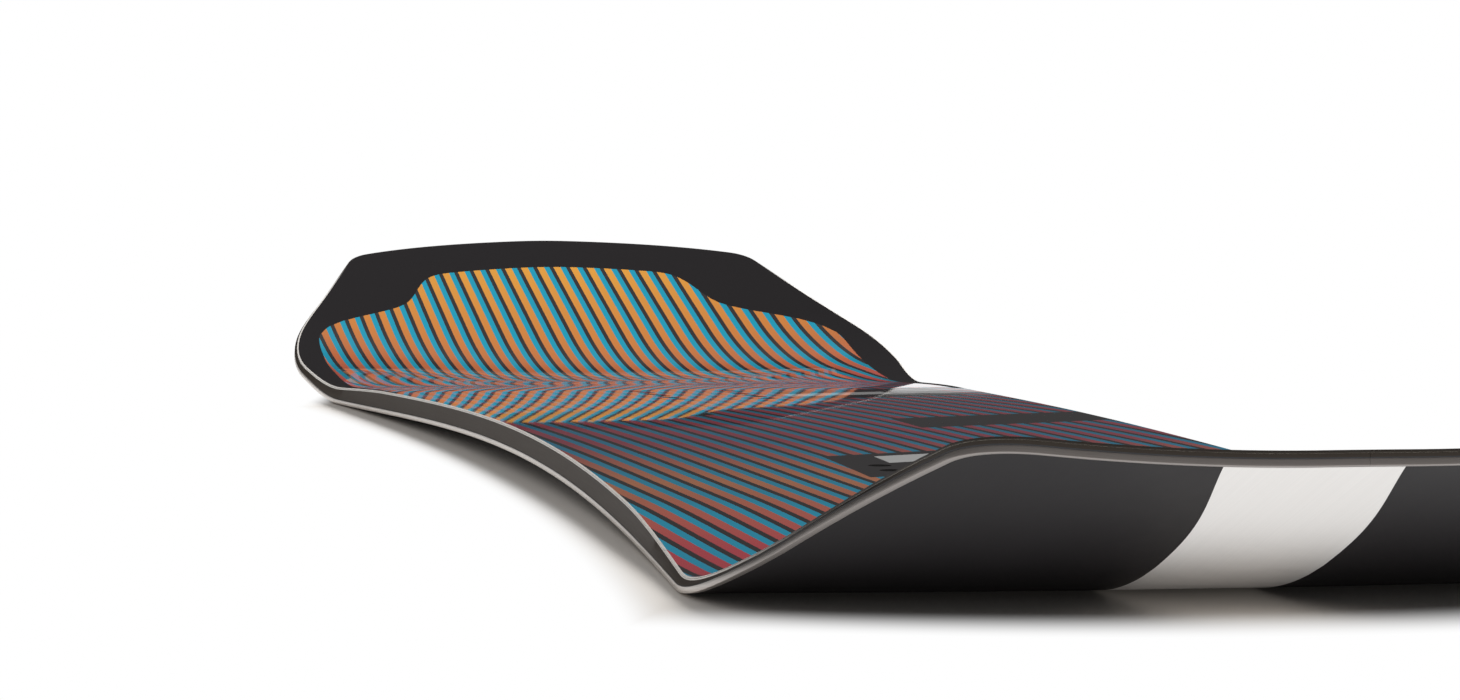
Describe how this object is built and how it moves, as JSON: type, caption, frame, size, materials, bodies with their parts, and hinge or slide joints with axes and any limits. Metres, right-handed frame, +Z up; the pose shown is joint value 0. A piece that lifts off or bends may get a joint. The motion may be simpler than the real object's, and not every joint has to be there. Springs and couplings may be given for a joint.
{
  "type": "snowboard",
  "caption": "Twin-tip snowboard with cambered middle, upturned blunt tips with lifted corners, wood core, full-wrap steel edges and threaded binding inserts.",
  "frame": {"origin": "middle of the board's length and width, at the floor that the base rests on", "axes": "+X along the board to the tail, -X to the nose, +Y to the right-hand edge seen from above with the nose behind, +Z up"},
  "size_m": [1.508, 0.3012, 0.0689],
  "materials": {
    "topsheet_print": "gloss printed film",
    "fibreglass": "resin-wetted fibreglass",
    "tip_spacer_abs": "plain",
    "sidewall_abs": "ground satin",
    "damping_rubber": "plain",
    "edge_steel": "ground",
    "base_black": "stone-ground and waxed",
    "base_white": "stone-ground and waxed",
    "core_beech": "planed",
    "core_poplar": "planed",
    "core_paulownia": "planed",
    "insert_stainless": "turned"
  },
  "bodies": {
    "root": {"topsheet": "topsheet_print", "upper_fibreglass": "fibreglass", "lower_fibreglass": "fibreglass", "tip_spacer_nose": "tip_spacer_abs", "tip_spacer_tail": "tip_spacer_abs", "sidewall_left": "sidewall_abs", "sidewall_right": "sidewall_abs", "damping_strip_left": "damping_rubber", "damping_strip_right": "damping_rubber", "steel_edge_left": "edge_steel", "steel_edge_right": "edge_steel", "base_sheet_left": "base_black", "base_sheet_right": "base_black", "base_white_band": "base_white", "core_strip_middle": "core_beech", "core_strip_left_1": "core_poplar", "core_strip_left_2": "core_paulownia", "core_strip_left_3": "core_beech", "core_strip_left_4": "core_poplar", "core_strip_left_5": "core_paulownia", "core_strip_right_1": "core_poplar", "core_strip_right_2": "core_paulownia", "core_strip_right_3": "core_beech", "core_strip_right_4": "core_poplar", "core_strip_right_5": "core_paulownia", "insert_nose_left_1": "insert_stainless", "insert_nose_left_2": "insert_stainless", "insert_nose_left_3": "insert_stainless", "insert_nose_left_4": "insert_stainless", "insert_nose_left_5": "insert_stainless", "insert_nose_left_6": "insert_stainless", "insert_nose_right_1": "insert_stainless", "insert_nose_right_2": "insert_stainless", "insert_nose_right_3": "insert_stainless", "insert_nose_right_4": "insert_stainless", "insert_nose_right_5": "insert_stainless", "insert_nose_right_6": "insert_stainless", "insert_tail_left_1": "insert_stainless", "insert_tail_left_2": "insert_stainless", "insert_tail_left_3": "insert_stainless", "insert_tail_left_4": "insert_stainless", "insert_tail_left_5": "insert_stainless", "insert_tail_left_6": "insert_stainless", "insert_tail_right_1": "insert_stainless", "insert_tail_right_2": "insert_stainless", "insert_tail_right_3": "insert_stainless", "insert_tail_right_4": "insert_stainless", "insert_tail_right_5": "insert_stainless", "insert_tail_right_6": "insert_stainless"}
  },
  "joints": []
}
